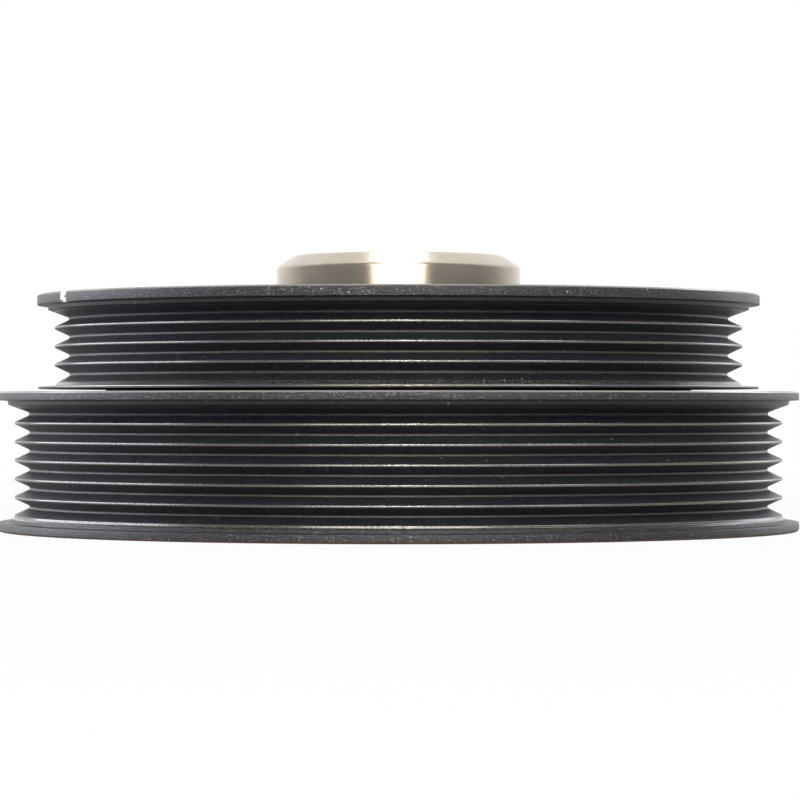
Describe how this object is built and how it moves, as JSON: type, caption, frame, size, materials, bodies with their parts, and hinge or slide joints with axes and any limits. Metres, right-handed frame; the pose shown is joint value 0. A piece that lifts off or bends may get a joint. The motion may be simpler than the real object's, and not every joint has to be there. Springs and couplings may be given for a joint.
{
  "type": "crankshaft damper pulley",
  "caption": "Round crankshaft pulley for ribbed belts: a windowed hub with a turned nose, a rubber-sprung outer belt ring and a smaller rear belt ring.",
  "frame": {"origin": "centre of the front face, on the crankshaft's axis", "axes": "+Z along the crankshaft's axis, from the front face towards the engine; +Y through the keyway"},
  "size_m": [0.1542, 0.1542, 0.0529],
  "materials": {
    "hub_iron": "black coated casting, nose and bores left turned bright",
    "coated_iron": "satin black coat over turned iron, worn bright on the rib tops",
    "rubber": "moulded, matt"
  },
  "bodies": {
    "hub": {"hub": "hub_iron", "rear_pulley": "coated_iron", "damper_rubber": "rubber"},
    "inertia_ring": {"inertia_ring": "coated_iron"}
  },
  "joints": [
    {"name": "damper_twist", "type": "hinge", "parent": "hub", "child": "inertia_ring", "pos_m": [0, 0, 0.0135], "axis": [0, 0, 1], "range_deg": [-1.5, 1.5], "stiffness_Nm_per_rad": 200}
  ]
}
